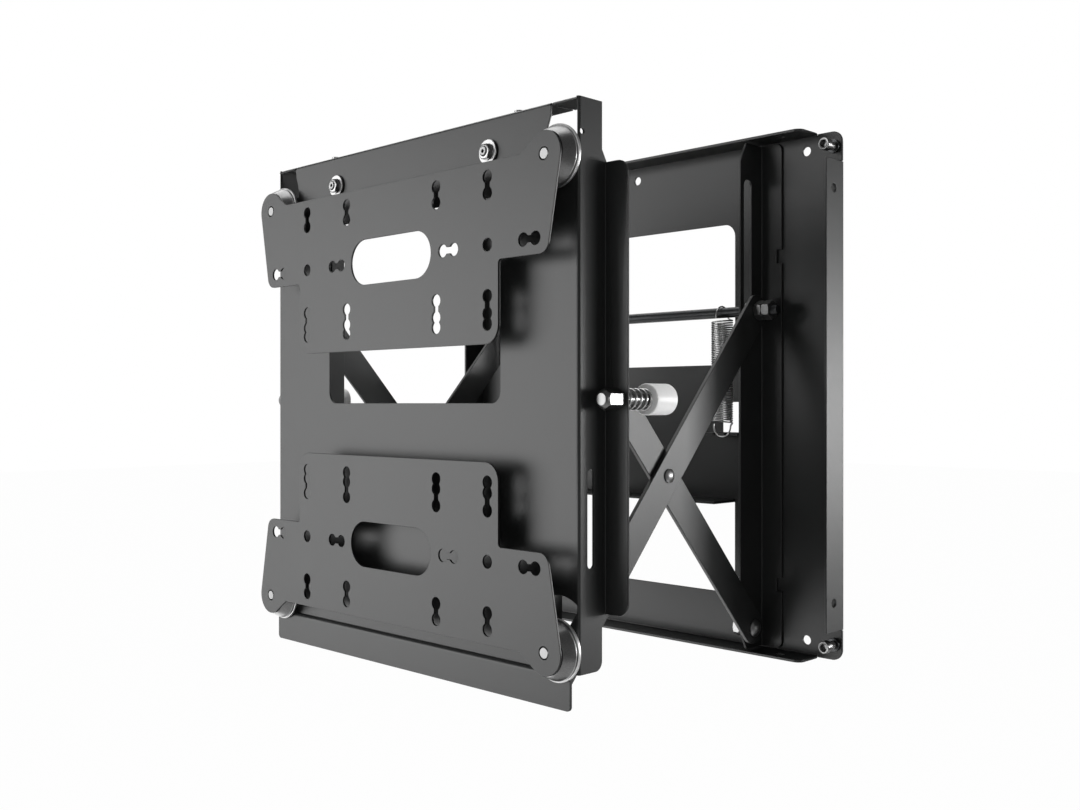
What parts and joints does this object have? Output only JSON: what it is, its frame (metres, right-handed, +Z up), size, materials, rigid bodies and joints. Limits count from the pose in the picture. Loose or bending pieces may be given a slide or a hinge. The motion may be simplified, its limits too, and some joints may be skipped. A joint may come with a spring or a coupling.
{
  "type": "push-out video wall mount",
  "caption": "Scissor wall mount that pushes a video wall screen out from the wall, with a sheet-steel wall plate, sprung arms, an adjustable front frame and slotted screen plates.",
  "frame": {"origin": "middle of the wall plate's back face, which lies on the wall", "axes": "+X to the right as seen from the front, +Y into the wall, +Z up; the screen side faces -Y"},
  "size_m": [0.3932, 0.2679, 0.3932],
  "materials": {
    "black_powder_coat": "satin powder coat on sheet steel",
    "zinc_plate": "bright zinc plate",
    "turned_steel": "turned and nickel plated",
    "spring_steel": "drawn spring wire",
    "dark_steel": "blackened rod",
    "white_nylon": "turned nylon"
  },
  "bodies": {
    "wall": {"wall_plate": "black_powder_coat", "slide_bracket_left": "black_powder_coat", "slide_bracket_right": "black_powder_coat", "rear_pivot_bolts": "zinc_plate", "rear_pivot_nuts": "zinc_plate", "rear_spacers": "zinc_plate", "press_nuts": "zinc_plate", "extension_spring_left": "spring_steel", "extension_spring_right": "spring_steel"},
    "inner_arms": {"inner_arm_left": "black_powder_coat", "inner_arm_right": "black_powder_coat", "centre_rivets": "zinc_plate", "slide_pins": "zinc_plate", "slide_pin_nuts": "zinc_plate"},
    "outer_arms": {"outer_arm_left": "black_powder_coat", "outer_arm_right": "black_powder_coat"},
    "shaft": {"cross_shaft": "dark_steel", "shaft_bushes": "zinc_plate", "shaft_nuts": "zinc_plate", "shaft_locknuts": "zinc_plate"},
    "carriage": {"carriage_bracket_left": "black_powder_coat", "carriage_bracket_right": "black_powder_coat", "carriage_top_bar": "black_powder_coat", "carriage_bottom_bar": "black_powder_coat", "front_pivot_bolts": "zinc_plate", "front_pivot_nuts": "zinc_plate", "front_spacers": "zinc_plate", "clamp_studs": "zinc_plate", "clamp_washers": "zinc_plate", "clamp_nuts": "zinc_plate"},
    "height_screw_left": {"height_screw_left": "zinc_plate"},
    "height_screw_right": {"height_screw_right": "zinc_plate"},
    "frame": {"front_frame": "black_powder_coat", "bottom_lip": "black_powder_coat", "lip_screws": "zinc_plate", "threaded_inserts": "zinc_plate", "height_nuts": "zinc_plate", "buffer_spring_left": "spring_steel", "buffer_spring_right": "spring_steel"},
    "buffer_left": {"buffer_rod_left": "turned_steel", "nylon_buffer_left": "white_nylon"},
    "buffer_right": {"buffer_rod_right": "turned_steel", "nylon_buffer_right": "white_nylon"},
    "upper_plate": {"screen_plate_top": "black_powder_coat"},
    "lower_plate": {"screen_plate_bottom": "black_powder_coat"},
    "adjuster_top_left": {"adjuster_wheel_top_left": "turned_steel", "spindle_top_left": "turned_steel"},
    "levelling_screw_top_left": {"levelling_screw_top_left": "turned_steel"},
    "adjuster_top_right": {"adjuster_wheel_top_right": "turned_steel", "spindle_top_right": "turned_steel"},
    "levelling_screw_top_right": {"levelling_screw_top_right": "turned_steel"},
    "adjuster_bottom_left": {"adjuster_wheel_bottom_left": "turned_steel", "spindle_bottom_left": "turned_steel"},
    "levelling_screw_bottom_left": {"levelling_screw_bottom_left": "turned_steel"},
    "adjuster_bottom_right": {"adjuster_wheel_bottom_right": "turned_steel", "spindle_bottom_right": "turned_steel"},
    "levelling_screw_bottom_right": {"levelling_screw_bottom_right": "turned_steel"}
  },
  "joints": [
    {"name": "fold", "type": "hinge", "parent": "wall", "child": "inner_arms", "pos_m": [0, -0.0225, -0.1766], "axis": [-1, 0, 0], "range_deg": [0, 35.1], "stiffness_Nm_per_rad": 1.5, "springref_deg": -68.75, "deforming": ["extension_spring_left", "extension_spring_right"]},
    {"name": "arm_cross", "type": "hinge", "parent": "inner_arms", "child": "outer_arms", "pos_m": [0, -0.12995, -0.056], "axis": [-1, 0, 0], "range_deg": [-70.21, 0]},
    {"name": "carriage_level", "type": "hinge", "parent": "outer_arms", "child": "carriage", "pos_m": [0, -0.2374, -0.1766], "axis": [-1, 0, 0], "range_deg": [0, 35.11]},
    {"name": "shaft_level", "type": "hinge", "parent": "outer_arms", "child": "shaft", "pos_m": [0, -0.0225, 0.06459], "axis": [-1, 0, 0], "range_deg": [0, 35.11]},
    {"name": "frame_height", "type": "slide", "parent": "carriage", "child": "frame", "axis": [0, 0, 1], "range_m": [-0.003, 0.003]},
    {"name": "height_screw_turn_left", "type": "hinge", "parent": "carriage", "child": "height_screw_left", "pos_m": [-0.101, -0.24095, 0.1664], "axis": [0, 0, -1], "range_deg": [-1081, 1081]},
    {"name": "height_screw_turn_right", "type": "hinge", "parent": "carriage", "child": "height_screw_right", "pos_m": [0.101, -0.24095, 0.1664], "axis": [0, 0, -1], "range_deg": [-1081, 1081]},
    {"name": "upper_plate_depth", "type": "slide", "parent": "frame", "child": "upper_plate", "axis": [0, 1, 0], "range_m": [-0.004, 0.0025]},
    {"name": "wheel_turn_top_left", "type": "hinge", "parent": "upper_plate", "child": "adjuster_top_left", "pos_m": [-0.15, -0.2679, 0.1444], "axis": [0, 1, 0], "range_deg": [-1153, 721]},
    {"name": "wheel_turn_top_right", "type": "hinge", "parent": "upper_plate", "child": "adjuster_top_right", "pos_m": [0.15, -0.2679, 0.1444], "axis": [0, 1, 0], "range_deg": [-1153, 721]},
    {"name": "lower_plate_depth", "type": "slide", "parent": "frame", "child": "lower_plate", "axis": [0, 1, 0], "range_m": [-0.004, 0]},
    {"name": "wheel_turn_bottom_left", "type": "hinge", "parent": "lower_plate", "child": "adjuster_bottom_left", "pos_m": [-0.15, -0.2679, -0.1556], "axis": [0, 1, 0], "range_deg": [-1153, 1]},
    {"name": "wheel_turn_bottom_right", "type": "hinge", "parent": "lower_plate", "child": "adjuster_bottom_right", "pos_m": [0.15, -0.2679, -0.1556], "axis": [0, 1, 0], "range_deg": [-1153, 1]},
    {"name": "buffer_press_left", "type": "slide", "parent": "frame", "child": "buffer_left", "axis": [0, -1, 0], "range_m": [0, 0.01], "stiffness_N_per_m": 6000, "deforming": ["buffer_spring_left"]},
    {"name": "buffer_press_right", "type": "slide", "parent": "frame", "child": "buffer_right", "axis": [0, -1, 0], "range_m": [0, 0.01], "stiffness_N_per_m": 6000, "deforming": ["buffer_spring_right"]},
    {"name": "levelling_top_left", "type": "slide", "parent": "wall", "child": "levelling_screw_top_left", "axis": [0, 1, 0], "range_m": [0, 0.006]},
    {"name": "levelling_top_right", "type": "slide", "parent": "wall", "child": "levelling_screw_top_right", "axis": [0, 1, 0], "range_m": [0, 0.006]},
    {"name": "levelling_bottom_left", "type": "slide", "parent": "wall", "child": "levelling_screw_bottom_left", "axis": [0, 1, 0], "range_m": [0, 0.006]},
    {"name": "levelling_bottom_right", "type": "slide", "parent": "wall", "child": "levelling_screw_bottom_right", "axis": [0, 1, 0], "range_m": [0, 0.006]}
  ],
  "couplings": [
    {"joint": "arm_cross", "follows": "fold", "ratio": -2},
    {"joint": "carriage_level", "follows": "fold", "ratio": 1},
    {"joint": "shaft_level", "follows": "fold", "ratio": 1},
    {"joint": "height_screw_turn_left", "follows": "frame_height", "rad_per_m": 6283.2},
    {"joint": "height_screw_turn_right", "follows": "frame_height", "rad_per_m": 6283.2},
    {"joint": "wheel_turn_top_left", "follows": "upper_plate_depth", "rad_per_m": 5026.5},
    {"joint": "wheel_turn_top_right", "follows": "upper_plate_depth", "rad_per_m": 5026.5},
    {"joint": "wheel_turn_bottom_left", "follows": "lower_plate_depth", "rad_per_m": 5026.5},
    {"joint": "wheel_turn_bottom_right", "follows": "lower_plate_depth", "rad_per_m": 5026.5}
  ]
}
